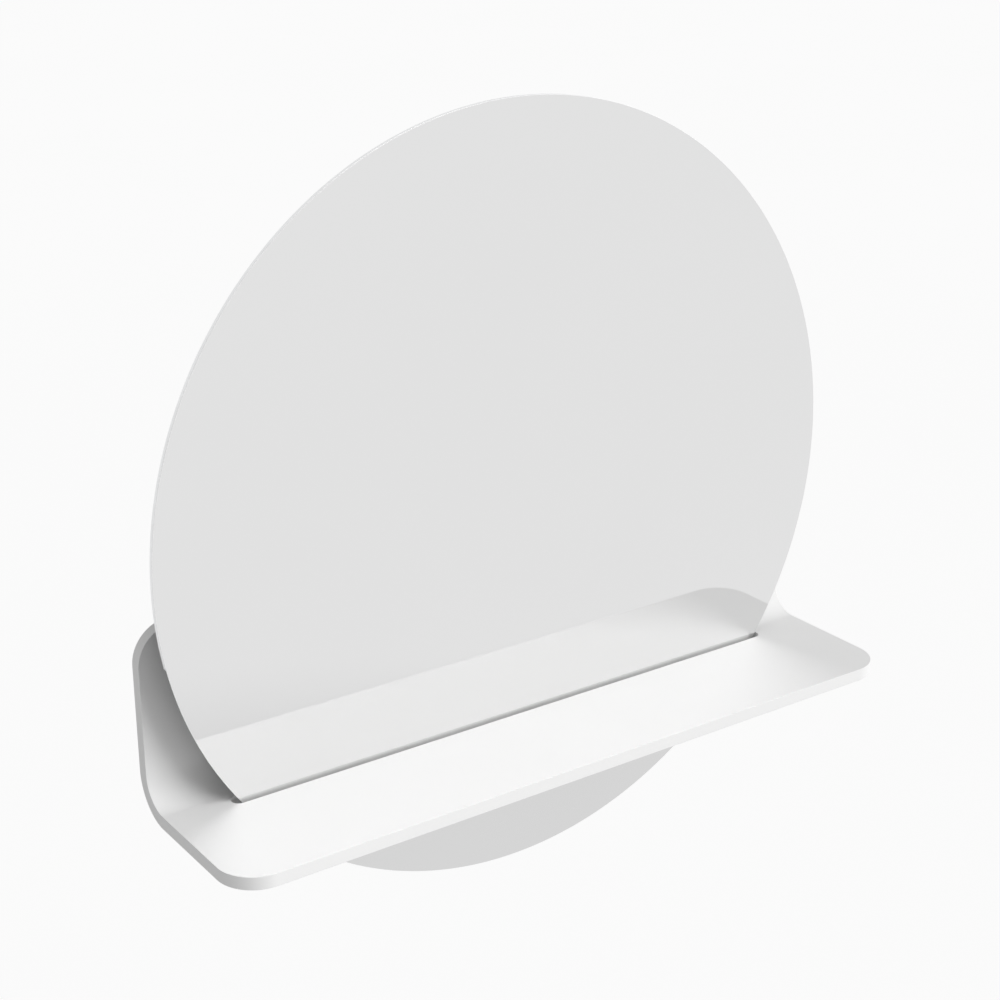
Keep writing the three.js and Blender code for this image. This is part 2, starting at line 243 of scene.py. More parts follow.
def bent_outline(width, length, corner, steps, bends):
    """A blank's outline with round corners, and a point on both sides at every line of its
    bends. The second list names the points that each line joins."""
    half, far = width / 2, length - corner
    inner = half - corner

    def rounding(x, along, start):
        return arc(Vector((x, along)), corner, start, start + 90, steps)

    line = rounding(inner, corner, -90)
    first_right = len(line)
    line += [(Vector((half, along)), Vector((1, 0))) for along in bends]
    line += rounding(inner, far, 0) + rounding(-inner, far, 90)
    first_left = len(line)
    line += [(Vector((-half, along)), Vector((-1, 0))) for along in reversed(bends)]
    line += rounding(-inner, corner, 180)
    last = len(bends) - 1
    return line, [(first_right + i, first_left + last - i) for i in range(len(bends))]


def slot_line(length, width, x, along, steps=16):
    """A slot with round ends, seen as a cut line."""
    radius = width / 2
    reach = length / 2 - radius
    right = arc(Vector((x + reach, along)), radius, -90, 90, steps, hollow=True)
    left = arc(Vector((x - reach, along)), radius, 90, 270, steps, hollow=True)
    return right + left


def hole_line(radius, x, along, steps=32):
    """A round hole, seen as a cut line."""
    return arc(Vector((x, along)), radius, 0, 360, steps, hollow=True)[:-1]


def add_node(tree, kind, sockets=None, **settings):
    """Adds a node. Sockets are given by name or number, each a value or what feeds it."""
    node = tree.nodes.new(kind)
    for name, value in settings.items():
        setattr(node, name, value)
    for name, value in (sockets or {}).items():
        if isinstance(value, bpy.types.NodeSocket):
            tree.links.new(value, node.inputs[name])
        else:
            node.inputs[name].default_value = value
    return node


def maths(tree, operation, *values):
    """The outcome of one sum. Each value is a number or what feeds it."""
    node = add_node(tree, "ShaderNodeMath", dict(enumerate(values)), operation=operation)
    return node.outputs[0]


def new_group(name, kind, takes, gives):
    """An empty node group with its named sockets, and its input and output nodes."""
    tree = bpy.data.node_groups.new(name, kind)
    for socket, form, start in takes:
        made = tree.interface.new_socket(socket, in_out="INPUT", socket_type=form)
        if start is not None:
            made.default_value = start
    for socket, form in gives:
        tree.interface.new_socket(socket, in_out="OUTPUT", socket_type=form)
    return tree, tree.nodes.new("NodeGroupInput"), tree.nodes.new("NodeGroupOutput")


def fine_grain_group():
    """Fine grain, broad clouding and specks, as every sanded, cast or moulded surface has."""
    tree, taken, given = new_group(
        "fine grain",
        "ShaderNodeTree",
        [("Place", "NodeSocketVector", None), ("Grains", "NodeSocketFloat", 1500.0),
         ("Clouds", "NodeSocketFloat", 8.0)],
        [("Grain", "NodeSocketFloat"), ("Cloud", "NodeSocketFloat"),
         ("Speckle", "NodeSocketFloat")],
    )
    place = taken.outputs["Place"]
    grain = add_node(tree, "ShaderNodeTexNoise", {
        "Vector": place, "Scale": taken.outputs["Grains"], "Detail": 3.0, "Roughness": 0.6})
    cloud = add_node(tree, "ShaderNodeTexNoise", {
        "Vector": place, "Scale": taken.outputs["Clouds"], "Detail": 4.0, "Roughness": 0.55,
        "Distortion": 0.4})
    finer = maths(tree, "MULTIPLY", taken.outputs["Grains"], 0.55)
    spots = add_node(tree, "ShaderNodeTexVoronoi", {
        "Vector": place, "Scale": finer, "Randomness": 1.0})
    speckle = add_node(tree, "ShaderNodeMapRange", {
        "Value": spots.outputs["Distance"], "From Min": 0.08, "From Max": 0.30,
        "To Min": 1.0, "To Max": 0.0})
    tree.links.new(grain.outputs[0], given.inputs["Grain"])
    tree.links.new(cloud.outputs[0], given.inputs["Cloud"])
    tree.links.new(speckle.outputs[0], given.inputs["Speckle"])
    return tree


FINE_GRAIN = fine_grain_group()


def new_finish(name, **plain):
    """A material with a plain Principled shader. Returns it, its tree and the shader."""
    finish = bpy.data.materials.new(name)
    finish.use_nodes = True
    tree = finish.node_tree
    shader = tree.nodes["Principled BSDF"]
    for socket, value in plain.items():
        shader.inputs[socket.replace("_", " ")].default_value = value
    return finish, tree, shader


def grained(tree, grains, clouds):
    """Puts the fine grain in a material, that many grains and clouds to the metre."""
    place = add_node(tree, "ShaderNodeTexCoord").outputs["Object"]
    return add_node(tree, "ShaderNodeGroup", {
        "Place": place, "Grains": grains, "Clouds": clouds}, node_tree=FINE_GRAIN).outputs


def between(tree, mask, low, high):
    """Turns the middle half of a mask that runs from 0 to 1 into values from low to high."""
    return add_node(tree, "ShaderNodeMapRange", {
        "Value": mask, "From Min": 0.25, "From Max": 0.75, "To Min": low, "To Max": high,
    }).outputs[0]


def two_tone(tree, mask, low, high):
    """Mixes two colours by a mask. Each is a colour or what feeds one."""
    mix = add_node(tree, "ShaderNodeMix", {"Factor": mask}, data_type="RGBA")
    for socket, tone in (("A", low), ("B", high)):
        if isinstance(tone, bpy.types.NodeSocket):
            tree.links.new(tone, mix.inputs[socket])
        else:
            mix.inputs[socket].default_value = (*tone, 1)
    return mix.outputs["Result"]


def bumped(tree, shader, height, depth, strength=1.0):
    """Gives the shader a bump of that depth in metres."""
    bump = add_node(tree, "ShaderNodeBump", {
        "Height": height, "Distance": depth, "Strength": strength})
    tree.links.new(bump.outputs["Normal"], shader.inputs["Normal"])


def white_mineral():
    """Matt white mineral sheet, fine sanded: faint clouds, a fine grain, smoother edges. The
    routed walls carry painted shade: a little grey at the top, darker with depth down the slot."""
    finish, tree, shader = new_finish("white mineral", Specular_IOR_Level=0.03)
    grain = grained(tree, 1400.0, 7.0)
    clouded = two_tone(tree, between(tree, grain["Cloud"], 0, 1),
                       (0.872, 0.872, 0.869), (0.892, 0.892, 0.890))
    speckled = two_tone(tree, between(tree, grain["Speckle"], 0, 0.25),
                        (0.9, 0.9, 0.9), (0.80, 0.80, 0.795))
    routed = add_node(tree, "ShaderNodeAttribute", attribute_name="routed_wall").outputs["Fac"]
    place = add_node(tree, "ShaderNodeTexCoord").outputs["Object"]
    height = add_node(tree, "ShaderNodeSeparateXYZ", {0: place}).outputs["Z"]
    # Painted shade: the routed walls grey with depth down the slot, standing in for the shade
    # deep in it.
    deeper = add_node(tree, "ShaderNodeMapRange", {
        "Value": height, "From Min": SHELF_TOP - SLOT_SHADE_DEEPEST, "From Max": SHELF_TOP - SLOT_SHADE_TOP,
        "To Min": 1.0, "To Max": 0.1})
    painted_slot_shade = maths(tree, "MULTIPLY", routed, deeper.outputs[0])
    # Mixes the routed walls towards the grey of the painted shade.
    colour = two_tone(tree, painted_slot_shade, two_tone(tree, 0.12, clouded, speckled), (0.60, 0.60, 0.595))
    tree.links.new(colour, shader.inputs["Base Color"])
    eased = add_node(tree, "ShaderNodeAttribute", attribute_name="eased_edge").outputs["Fac"]
    matt = between(tree, grain["Cloud"], 0.68, 0.76)
    tree.links.new(maths(tree, "MULTIPLY_ADD", eased, -0.12, matt), shader.inputs["Roughness"])
    bumped(tree, shader, grain["Grain"], depth=0.00002, strength=0.5)
    return finish


def set_finish(piece, *finishes):
    """Gives a piece its materials, in the order of its slots."""
    piece.data.materials.clear()
    for finish in finishes:
        piece.data.materials.append(finish)


bend_at = [SHELF_REACH + BEND_LENGTH * i / BEND_STEPS for i in range(BEND_STEPS + 1)]
outline, bend_lines = bent_outline(SHELF_WIDTH, 2 * SHELF_REACH + BEND_LENGTH, SHELF_CORNER,
                                   CORNER_STEPS, bend_at)
recess = edge_section(
    [(-1, 0), (0, 0), (0, FIXING_DEPTH), (FIXING_STEP, FIXING_DEPTH), (FIXING_STEP, PLATE),
     (-1, PLATE)],
    FIXING_EASE,
)
shelf_cuts = [
    (outline, plain_section(PLATE, SHELF_EASE)),
    (slot_line(SLOT_LENGTH, SLOT_WIDTH, 0, SLOT_FROM_FRONT), plain_section(PLATE, SLOT_EASE)),
]
shelf_cuts += [(hole_line(FIXING_RECESS, x, FIXING_ROW), recess) for x in FIXING_SPOTS]
shelf_fold = folded((PLATE_FRONT, PLATE_LEVEL), 0,
                    [(SHELF_REACH, 0), (BEND_LENGTH, 90), (SHELF_REACH, 0)])
shelf = cut_sheet("shelf_plate", PLATE, shelf_fold, shelf_cuts, bend_lines)
set_finish(shelf, white_mineral())
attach(shelf, "shelf")
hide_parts("shelf_body")


# --- Wall cleat ---------------------------------------------------------------------------
# An aluminium strip of 2 mm, folded to a step and screwed to the wall through slotted holes.
# Its lip stands off the wall and points up, and carries the mirror.
CLEAT = 0.002
CLEAT_EASE = 0.0002
CLEAT_CORNER = 0.0006
CLEAT_CORNER_STEPS = 4
CLEAT_BEND = 0.002           # radius of the bends at the middle of the strip
CLEAT_BEND_STEPS = 6
BEND_TAKES = CLEAT_BEND * math.tan(math.radians(22.5))
WALL_CLEAT_LENGTH = 0.300
WALL_CLEAT_FOOT = 0.1723     # height of its lower edge
WALL_CLEAT_BASE = 0.024
WALL_CLEAT_STEP = 0.0054
WALL_CLEAT_LIP = 0.010
WALL_SLOT_LENGTH = 0.014
WALL_SLOT_WIDTH = 0.0055
WALL_SLOT_RISE = 0.011       # above the lower edge
WALL_SLOT_SPOTS = (-0.120, 0, 0.120)


def drawn_lines_group():
    """Fine lines along the length of drawn, rolled or brushed metal, and broad soft streaks."""
    tree, taken, given = new_group(
        "drawn lines",
        "ShaderNodeTree",
        [("Place", "NodeSocketVector", None), ("Lines", "NodeSocketFloat", 2500.0),
         ("Length", "NodeSocketFloat", 0.02)],
        [("Lines", "NodeSocketFloat"), ("Streaks", "NodeSocketFloat")],
    )
    stretch = add_node(tree, "ShaderNodeCombineXYZ", {
        "X": taken.outputs["Length"], "Y": 1.0, "Z": 1.0})
    drawn = add_node(tree, "ShaderNodeVectorMath", {
        0: taken.outputs["Place"], 1: stretch.outputs[0]}, operation="MULTIPLY")
    lines = add_node(tree, "ShaderNodeTexNoise", {
        "Vector": drawn.outputs[0], "Scale": taken.outputs["Lines"], "Detail": 4.0,
        "Roughness": 0.65})
    fewer = maths(tree, "MULTIPLY", taken.outputs["Lines"], 0.06)
    streaks = add_node(tree, "ShaderNodeTexNoise", {
        "Vector": drawn.outputs[0], "Scale": fewer, "Detail": 3.0})
    tree.links.new(lines.outputs[0], given.inputs["Lines"])
    tree.links.new(streaks.outputs[0], given.inputs["Streaks"])
    return tree


DRAWN_LINES = drawn_lines_group()


def bare_metal(name, dark, light, smooth, rough, lines, length, depth):
    """Bare metal with lines along its own length, from its map, and faint handling clouds."""
    finish, tree, shader = new_finish(name, Metallic=1.0)
    along = add_node(tree, "ShaderNodeUVMap", uv_map="along").outputs[0]
    drawn = add_node(tree, "ShaderNodeGroup", {
        "Place": along, "Lines": lines, "Length": length}, node_tree=DRAWN_LINES).outputs
    handled = grained(tree, 1800.0, 14.0)["Cloud"]
    tree.links.new(two_tone(tree, between(tree, drawn["Streaks"], 0, 1), dark, light),
                   shader.inputs["Base Color"])
    halved = maths(tree, "MULTIPLY", maths(tree, "ADD", drawn["Lines"], handled), 0.5)
    tree.links.new(between(tree, halved, smooth, rough), shader.inputs["Roughness"])
    bumped(tree, shader, drawn["Lines"], depth)
    return finish


MILL_ALUMINIUM = bare_metal(
    "mill aluminium", (0.56, 0.565, 0.57), (0.72, 0.725, 0.73),
    smooth=0.28, rough=0.48, lines=3000.0, length=0.015, depth=0.000012)


def stepped_strip(name, length, start, heading, base, step, lip, holes):
    """A strip folded to a 45 degree step. Base and lip are its flat lengths, measured to the
    folds' corners, and step is how far the lip stands in front of the base."""
    bend = CLEAT_BEND * math.radians(45)
    base, lip = base - BEND_TAKES, lip - BEND_TAKES
    slope = step * math.sqrt(2) - 2 * BEND_TAKES
    runs = [(base, 0), (bend, 45), (slope, 0), (bend, -45), (lip, 0)]
    bends = [first + bend * i / CLEAT_BEND_STEPS for first in (base, base + bend + slope)
             for i in range(CLEAT_BEND_STEPS + 1)]
    line, joins = bent_outline(length, sum(run for run, _ in runs), CLEAT_CORNER,
                               CLEAT_CORNER_STEPS, bends)
    section = plain_section(CLEAT, CLEAT_EASE)
    cuts = [(line, section)] + [(hole, section) for hole in holes]
    piece = cut_sheet(name, CLEAT, folded(start, heading, runs), cuts, joins)
    set_finish(piece, MILL_ALUMINIUM)
    return piece


wall_slots = [slot_line(WALL_SLOT_LENGTH, WALL_SLOT_WIDTH, x, WALL_SLOT_RISE, 8)
              for x in WALL_SLOT_SPOTS]
wall_cleat = stepped_strip(
    "wall_cleat_strip", WALL_CLEAT_LENGTH, (-CLEAT / 2, WALL_CLEAT_FOOT), 90,
    WALL_CLEAT_BASE, WALL_CLEAT_STEP, WALL_CLEAT_LIP, wall_slots)
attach(wall_cleat, "shelf")
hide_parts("wall_cleat")


# --- Slot cushions ------------------------------------------------------------------------
# Two short rubber angles hooked over the rear edge of the slot. They keep the thin disc off
# the plate.
CUSHION_FLANGE = 0.002       # thickness of the leg that lies on the plate
CUSHION_LAP = 0.006          # how far it lies on it
CUSHION_EASE = 0.0005
EASE_STEPS = 3
EASED_FROM = math.radians(30)
SHARP_FROM = math.radians(40)


def clouded_finish(name, dark, light, grains, clouds, **plain):
    """A finish whose colour drifts between two tones. Returns it with its tree, its shader and
    what its grain puts out."""
    finish, tree, shader = new_finish(name, **plain)
    grain = grained(tree, grains, clouds)
    tree.links.new(two_tone(tree, between(tree, grain["Cloud"], 0, 1), dark, light),
                   shader.inputs["Base Color"])
    return finish, tree, shader, grain


def soft_rubber():
    """Moulded grey rubber, dull, with a faint bloom."""
    finish, tree, shader, grain = clouded_finish(
        "grey rubber", (0.235, 0.238, 0.242), (0.300, 0.303, 0.306), grains=2600.0, clouds=90.0,
        Specular_IOR_Level=0.35)
    tree.links.new(between(tree, grain["Cloud"], 0.68, 0.84), shader.inputs["Roughness"])
    bumped(tree, shader, grain["Grain"], depth=0.00004, strength=0.7)
    return finish


SOFT_RUBBER = soft_rubber()


def settled(piece, ease=0.0):
    """Eases a piece's edges, evens its normals by the size of its faces, and fixes the result."""
    if ease:
        bevel = piece.modifiers.new("eased edges", "BEVEL")
        bevel.width = ease
        bevel.segments = EASE_STEPS
        bevel.limit_method = "ANGLE"
        bevel.angle_limit = EASED_FROM
    evened = piece.modifiers.new("even normals", "WEIGHTED_NORMAL")
    evened.keep_sharp = True
    piece.data.shade_smooth()
    piece.data.set_sharp_from_angle(angle=SHARP_FROM)
    seen = piece.evaluated_get(bpy.context.evaluated_depsgraph_get())
    mesh = bpy.data.meshes.new_from_object(seen)
    piece.modifiers.clear()
    piece.data = mesh
    mesh.name = piece.name
    return piece


def run_of(name, section, start, end):
    """A straight run along X of a section drawn in (y, z)."""
    body = bmesh.new()
    near = [body.verts.new((start, y, z)) for y, z in section]
    far = [body.verts.new((end, y, z)) for y, z in section]
    body.faces.new(near)
    body.faces.new(list(reversed(far)))
    for i in range(len(section)):
        j = (i + 1) % len(section)
        body.faces.new((near[j], near[i], far[i], far[j]))
    bmesh.ops.recalc_face_normals(body, faces=body.faces)
    uv = body.loops.layers.uv.new("along")
    for face in body.faces:
        for corner in face.loops:
            corner[uv].uv = (corner.vert.co.x, corner.vert.co.y + corner.vert.co.z)
    mesh = bpy.data.meshes.new(name)
    body.to_mesh(mesh)
    body.free()
    piece = bpy.data.objects.new(name, mesh)
    scene.collection.objects.link(piece)
    return piece


for hand in ("left", "right"):
    low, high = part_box(f"slot_cushion_{hand}")
    lap, leg = high.z - CUSHION_FLANGE, high.y - CUSHION_LAP
    angle = [(low.y, low.z), (leg, low.z), (leg, lap), (high.y, lap), (high.y, high.z),
             (low.y, high.z)]
    cushion = run_of(f"cushion_{hand}", angle, low.x, high.x)
    set_finish(cushion, SOFT_RUBBER)
    settled(cushion, CUSHION_EASE)
    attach(cushion, "shelf")
    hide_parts(f"slot_cushion_{hand}")


# --- Backing panel ------------------------------------------------------------------------
# A stiff 3 mm aluminium sheet behind the mirror, flush with its rim, its back lacquered dark
# grey. It stops at a straight edge above the shelf, so that only the thin disc goes down
# through the slot.
RIM = 0.300                  # radius of the mirror
RIM_STEPS = 360
MIRROR_CENTRE = 0.094
DISC_FACE = -0.0435
DISC = 0.001
FILM = 0.0003                # thickness of the tape between disc and panel
PANEL = 0.003
PANEL_MIDDLE = DISC_FACE + DISC + FILM + PANEL / 2
PANEL_FOOT = 0.034
PANEL_EASE = 0.0003
PANEL_BREAK = 0.002          # rounding where the straight edge meets the rim
PANEL_BREAK_STEPS = 8
FLAT = 0.999                 # a face turned towards the wall or the room more than this is flat


def upright(middle):
    """The path of an unfolded sheet that stands on the panel's lower edge, parallel to the
    wall."""
    return folded((middle, PANEL_FOOT), 90, [(1, 0)])


drop = MIRROR_CENTRE - PANEL_FOOT
break_x = math.sqrt((RIM - PANEL_BREAK) ** 2 - (drop - PANEL_BREAK) ** 2)
break_turn = math.degrees(math.atan2(PANEL_BREAK - drop, break_x))
around = round(RIM_STEPS * (180 - 2 * break_turn) / 360)
panel_line = arc(Vector((break_x, PANEL_BREAK)), PANEL_BREAK, -90, break_turn,
                 PANEL_BREAK_STEPS)
panel_line += arc(Vector((0, drop)), RIM, break_turn, 180 - break_turn, around)[1:]
panel_line += arc(Vector((-break_x, PANEL_BREAK)), PANEL_BREAK, 180 - break_turn, 270,
                  PANEL_BREAK_STEPS)[1:]
panel = cut_sheet("panel_sheet", PANEL, upright(PANEL_MIDDLE),
                  [(panel_line, plain_section(PANEL, PANEL_EASE))])
PANEL_ALUMINIUM = bare_metal(
    "rolled aluminium sheet", (0.84, 0.845, 0.85), (0.88, 0.885, 0.89),
    smooth=0.30, rough=0.42, lines=1800.0, length=0.02, depth=0.000004)


def dark_lacquer():
    """Dark grey protective lacquer, lightly orange-peeled."""
    finish, tree, shader, grain = clouded_finish(
        "dark lacquer", (0.050, 0.051, 0.053), (0.066, 0.067, 0.069), grains=500.0, clouds=12.0)
    tree.links.new(between(tree, grain["Cloud"], 0.42, 0.55), shader.inputs["Roughness"])
    bumped(tree, shader, grain["Grain"], depth=0.00002, strength=0.6)
    return finish


DARK_LACQUER = dark_lacquer()
set_finish(panel, PANEL_ALUMINIUM, DARK_LACQUER)
for face in panel.data.polygons:
    if face.normal.y > FLAT:
        face.material_index = 1
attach(panel, "mirror")
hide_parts("backing_panel")


# --- Mirror disc --------------------------------------------------------------------------
# A 1 mm disc of steel with a mirror-polished face, a satin rim and a back lacquered dark grey.
# Thin white foam tape bonds it to the panel.
DISC_EASE = 0.00006
WELD = 0.000002              # points closer than this are one
FILM_INSET = 0.0004
FILM_EASE = 0.00005


def turned_tree():
    """Turns a section, drawn as a row of points in (radius, along), about the Y axis, once at
    every point of the geometry it is put on. Lobes work the radius where the section says."""
    tree, taken, given = new_group(
        "turned pieces",
        "GeometryNodeTree",
        [("Places", "NodeSocketGeometry", None), ("Section", "NodeSocketObject", None),
         ("Rows", "NodeSocketInt", 8), ("Around", "NodeSocketInt", 32),
         ("Lobes", "NodeSocketInt", 0), ("Finish", "NodeSocketMaterial", None)],
        [("Pieces", "NodeSocketGeometry")],
    )
    tree.is_modifier = True
    columns = maths(tree, "ADD", taken.outputs["Around"], 1.0)
    grid = add_node(tree, "GeometryNodeMeshGrid", {
        "Size X": 1.0, "Size Y": 1.0, "Vertices X": taken.outputs["Rows"],
        "Vertices Y": columns})
    number = add_node(tree, "GeometryNodeInputIndex").outputs[0]
    row = maths(tree, "FLOOR", maths(tree, "DIVIDE", number, columns))
    column = maths(tree, "MODULO", number, columns)
    share = maths(tree, "DIVIDE", column, taken.outputs["Around"])
    turn = maths(tree, "MULTIPLY", share, 2 * math.pi)
    section = add_node(tree, "GeometryNodeObjectInfo", {"Object": taken.outputs["Section"]},
                       transform_space="ORIGINAL")
    place = add_node(tree, "GeometryNodeInputPosition").outputs[0]
    drawn = add_node(tree, "GeometryNodeSampleIndex", {
        "Geometry": section.outputs["Geometry"], "Value": place, "Index": row},
        data_type="FLOAT_VECTOR", domain="POINT")
    split = add_node(tree, "ShaderNodeSeparateXYZ", {0: drawn.outputs[0]})
    lobe = maths(tree, "COSINE", maths(tree, "MULTIPLY", turn, taken.outputs["Lobes"]))
    radius = maths(tree, "MULTIPLY_ADD", split.outputs["Z"], lobe, split.outputs["X"])
    shaped = add_node(tree, "ShaderNodeCombineXYZ", {
        "X": maths(tree, "MULTIPLY", radius, maths(tree, "COSINE", turn)),
        "Y": split.outputs["Y"],
        "Z": maths(tree, "MULTIPLY", radius, maths(tree, "SINE", turn))})
    turned = add_node(tree, "GeometryNodeSetPosition", {
        "Geometry": grid.outputs["Mesh"], "Position": shaped.outputs[0]})
    closed = add_node(tree, "GeometryNodeMergeByDistance", {
        "Geometry": turned.outputs[0], "Distance": WELD})
    set_out = add_node(tree, "GeometryNodeInstanceOnPoints", {
        "Points": taken.outputs["Places"], "Instance": closed.outputs[0]})
    real = add_node(tree, "GeometryNodeRealizeInstances", {"Geometry": set_out.outputs[0]})
    dressed = add_node(tree, "GeometryNodeSetMaterial", {
        "Geometry": real.outputs[0], "Material": taken.outputs["Finish"]})
    tree.links.new(dressed.outputs[0], given.inputs["Pieces"])
    return tree


TURNED = turned_tree()


def turned(name, section, places, around, finish, lobes=0):
    """Turned pieces at several places, made into one plain mesh. The section's rows are
    (radius, along) or (radius, along, depth of lobes)."""
    rows = [(*row, 0.0)[:3] for row in section]
    drawing = bpy.data.meshes.new(name + " section")
    drawing.from_pydata(rows, [(i, i + 1) for i in range(len(rows) - 1)], [])
    pattern = bpy.data.objects.new(name + " section", drawing)
    spots = bpy.data.meshes.new(name)
    spots.from_pydata([tuple(place) for place in places], [], [])
    piece = bpy.data.objects.new(name, spots)
    scene.collection.objects.link(piece)
    lathe = piece.modifiers.new("turned", "NODES")
    lathe.node_group = TURNED
    given = {"Section": pattern, "Rows": len(rows), "Around": around, "Lobes": lobes,
             "Finish": finish}
    for socket in TURNED.interface.items_tree:
        if socket.in_out == "INPUT" and socket.name in given:
            lathe[socket.identifier] = given[socket.name]
    seen = piece.evaluated_get(bpy.context.evaluated_depsgraph_get())
    mesh = bpy.data.meshes.new_from_object(seen)
    piece.modifiers.clear()
    piece.data = mesh
    mesh.name = name
    bpy.data.objects.remove(pattern)
    body = bmesh.new()
    body.from_mesh(mesh)
    if body.calc_volume(signed=True) < 0:
        bmesh.ops.reverse_faces(body, faces=body.faces)
    uv = body.loops.layers.uv.new("along")
    for face in body.faces:
        for corner in face.loops:
            corner[uv].uv = (corner.vert.co.x, corner.vert.co.z)
    body.to_mesh(mesh)
    body.free()
    set_finish(piece, finish)
    return settled(piece)


def mirror_steel():
    """Mirror-polished steel: almost no grain, faint wiping marks that only soften the gloss.
    The polish scatters a little light, so the face isn't wholly metallic in the shader. What
    it throws on matt pieces is left to a sharp lobe, as the renderer blurs every other one."""
    finish, tree, shader, grain = clouded_finish(
        "mirror steel", (0.859, 0.859, 0.859), (0.865, 0.865, 0.865), grains=900.0, clouds=5.0,
        Metallic=0.96)
    tree.links.new(between(tree, grain["Cloud"], 0.010, 0.022), shader.inputs["Roughness"])
    thrown = add_node(tree, "ShaderNodeBsdfToon", {
        "Color": (0.87, 0.87, 0.87, 1), "Size": 0.02, "Smooth": 0.0}, component="GLOSSY")
    rays = add_node(tree, "ShaderNodeLightPath")
    either = add_node(tree, "ShaderNodeMixShader", {
        0: rays.outputs["Is Diffuse Ray"], 1: shader.outputs[0], 2: thrown.outputs[0]})
    tree.links.new(either.outputs[0], tree.nodes["Material Output"].inputs["Surface"])
    return finish


def cut_steel():
    """The disc's laser-cut and deburred rim: satin, without the polish of the face."""
    finish, tree, shader, grain = clouded_finish(
        "cut steel edge", (0.84, 0.84, 0.84), (0.90, 0.90, 0.90), grains=2400.0, clouds=30.0,
        Metallic=1.0)
    tree.links.new(between(tree, grain["Grain"], 0.60, 0.72), shader.inputs["Roughness"])
    return finish


disc_rim = [(RIM + out, depth) for (out, depth), _, _ in plain_section(DISC, DISC_EASE)]
disc_section = [(r, y + DISC_FACE) for r, y in [(0, 0), *disc_rim, (0, DISC)]]
disc = turned("mirror_face", disc_section, [(0, 0, MIRROR_CENTRE)], RIM_STEPS, mirror_steel())
disc.data.materials.append(DARK_LACQUER)
disc.data.materials.append(cut_steel())
facing = [corner.vector.copy() for corner in disc.data.corner_normals]
for face in disc.data.polygons:
    if abs(face.normal.y) > FLAT:
        for corner in face.loop_indices:
            facing[corner] = Vector((0, round(face.normal.y), 0))
        face.material_index = 1 if face.normal.y > 0 else 0
    else:
        face.material_index = 2
disc.data.normals_split_custom_set(facing)
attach(disc, "mirror")
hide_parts("mirror_disc")


def foam_tape():
    """Thin white foam tape, with a pored surface."""
    finish, tree, shader, grain = clouded_finish(
        "white foam tape", (0.70, 0.70, 0.69), (0.78, 0.78, 0.77), grains=2200.0, clouds=60.0,
        Roughness=0.7)
    bumped(tree, shader, grain["Grain"], depth=0.00005, strength=0.8)
    return finish


film_line = [(point - way * FILM_INSET, way) for point, way in panel_line]
film = cut_sheet("bond_film", FILM, upright(DISC_FACE + DISC + FILM / 2),
                 [(film_line, plain_section(FILM, FILM_EASE))])
set_finish(film, foam_tape())
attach(film, "mirror")


# --- Tube frame ---------------------------------------------------------------------------
# Four lengths of drawn aluminium tube, 20 by 25 mm with a 1.5 mm wall, mitred and bonded to
# the panel. The frame stiffens the mirror and stands it off the wall.
TUBE_HIGH = 0.020
TUBE_DEEP = 0.025
TUBE_WALL = 0.0015
TUBE_ROUND = 0.0010          # radius of the corners outside
BORE_ROUND = 0.0004          # and inside
SEAT_GAP = 0.0003            # hairline left between pieces that lie on each other
FRAME_FRONT = PANEL_MIDDLE + PANEL / 2 + SEAT_GAP
FRAME_BACK = FRAME_FRONT + TUBE_DEEP
FRAME_MIDDLE = 0.138
FRAME_WIDE = 0.360
FRAME_HIGH = 0.200
MITRE_GAP = 0.0003
SIDES = (
    ("frame_top_rail", FRAME_WIDE, FRAME_HIGH / 2, 0),
    ("frame_right_stile", FRAME_HIGH, FRAME_WIDE / 2, 90),
    ("frame_bottom_rail", FRAME_WIDE, FRAME_HIGH / 2, 180),
    ("frame_left_stile", FRAME_HIGH, FRAME_WIDE / 2, -90),
)


def rounded_ring(low, high, radius, steps=4):
    """The points of a rectangle with rounded corners, in (y, z), in order."""
    (y0, z0), (y1, z1) = low, high
    ring = []
    for y, z, start in ((y1 - radius, z0 + radius, -90), (y1 - radius, z1 - radius, 0),
                        (y0 + radius, z1 - radius, 90), (y0 + radius, z0 + radius, 180)):
        ring += [point for point, _ in arc(Vector((y, z)), radius, start, start + 90, steps)]
    return ring


